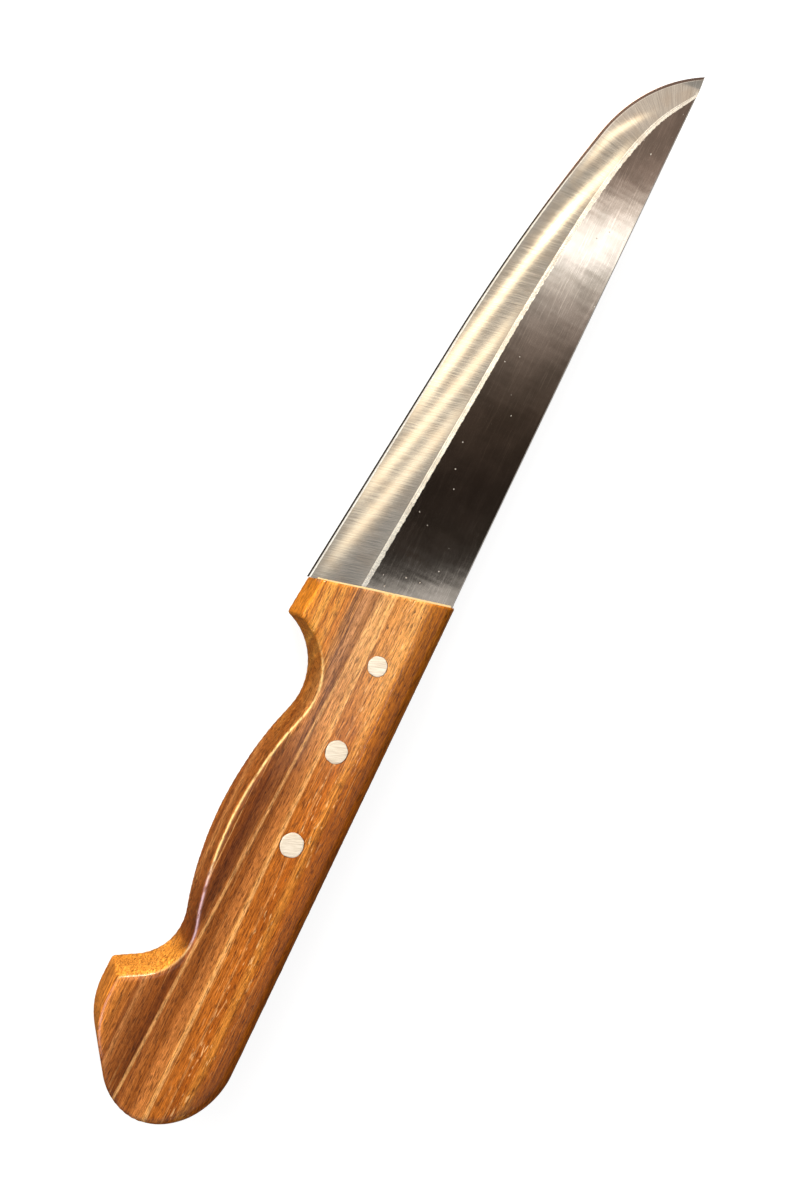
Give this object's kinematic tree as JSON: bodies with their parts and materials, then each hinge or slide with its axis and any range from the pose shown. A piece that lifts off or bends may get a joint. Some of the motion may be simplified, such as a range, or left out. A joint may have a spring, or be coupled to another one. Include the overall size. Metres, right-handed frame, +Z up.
{
  "type": "boning knife",
  "caption": "Boning knife: stiff straight-backed blade with a wide ground bevel, riveted in a one-piece wooden handle with finger notch, palm swell and hooked pommel.",
  "frame": {"origin": "middle of the knife's footprint, on the surface that it lies on", "axes": "+X towards the tip, +Y towards the cutting edge, +Z up through the thickness"},
  "size_m": [0.2818, 0.036, 0.018],
  "materials": {
    "blade_steel": "flats bright-rolled and darkened, bevels ground crosswise to a satin",
    "handle_wood": "straight-grained, oiled and lacquered",
    "rivet_metal": "peened and ground flush",
    "bedding_resin": "cast, satin"
  },
  "bodies": {
    "root": {"blade": "blade_steel", "handle": "handle_wood", "tang_bedding": "bedding_resin", "rivet_front": "rivet_metal", "rivet_middle": "rivet_metal", "rivet_rear": "rivet_metal"}
  },
  "joints": []
}
